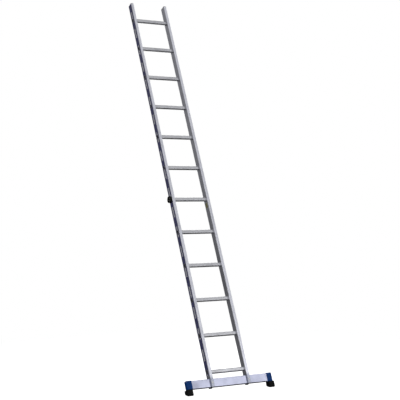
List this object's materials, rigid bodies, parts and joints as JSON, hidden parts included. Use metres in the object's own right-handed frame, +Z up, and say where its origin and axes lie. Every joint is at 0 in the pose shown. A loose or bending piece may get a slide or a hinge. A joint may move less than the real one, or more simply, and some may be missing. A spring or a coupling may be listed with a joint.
{
  "type": "leaning ladder",
  "caption": "Single-section aluminium leaning ladder with ribbed hollow rungs, a stabiliser bar with capped rubber feet, and a pendulum angle gauge on one stile.",
  "frame": {"origin": "on the floor, midway between the two feet's soles", "axes": "+X across the ladder, from the stile with the angle gauge to the other; +Y towards the wall the ladder leans on; +Z up"},
  "size_m": [0.743, 1.4918, 3.0869],
  "materials": {
    "stile_aluminium": "extruded, satin, with fine grooves",
    "rung_aluminium": "extruded, satin",
    "bar_aluminium": "extruded, satin",
    "blue_plastic": "moulded, fine texture",
    "black_plastic": "moulded, satin",
    "foot_rubber": "moulded rubber",
    "navy_film": "printed film",
    "label_film": "plain printed film",
    "zinc_steel": "zinc plated",
    "rivet_aluminium": "drawn",
    "dial_black": "matt printed disc",
    "pointer_pale": "moulded",
    "clear_lens": "clear polycarbonate"
  },
  "bodies": {
    "ladder": {"left_stile": "stile_aluminium", "right_stile": "stile_aluminium", "rung_01": "rung_aluminium", "rung_02": "rung_aluminium", "rung_03": "rung_aluminium", "rung_04": "rung_aluminium", "rung_05": "rung_aluminium", "rung_06": "rung_aluminium", "rung_07": "rung_aluminium", "rung_08": "rung_aluminium", "rung_09": "rung_aluminium", "rung_10": "rung_aluminium", "rung_11": "rung_aluminium", "rung_12": "rung_aluminium", "stabiliser_bar": "bar_aluminium", "left_bar_cap": "blue_plastic", "left_foot": "foot_rubber", "left_top_plug": "black_plastic", "left_bottom_plugs": "black_plastic", "left_band": "navy_film", "right_bar_cap": "blue_plastic", "right_foot": "foot_rubber", "right_top_plug": "black_plastic", "right_bottom_plugs": "black_plastic", "right_band": "navy_film", "bar_bolts": "zinc_steel", "bar_washers": "zinc_steel", "bar_nuts": "zinc_steel", "foot_screws": "zinc_steel", "cap_rivets": "rivet_aluminium", "right_label": "label_film", "gauge_housing": "black_plastic", "gauge_bezel": "black_plastic", "gauge_dial": "dial_black", "gauge_pin": "zinc_steel", "gauge_lens": "clear_lens"},
    "pointer": {"gauge_pointer": "pointer_pale"}
  },
  "joints": [
    {"name": "pointer_swing", "type": "hinge", "parent": "ladder", "child": "pointer", "pos_m": [-0.17435, 0.66336, 1.40972], "axis": [1, 0, 0], "continuous": true}
  ]
}
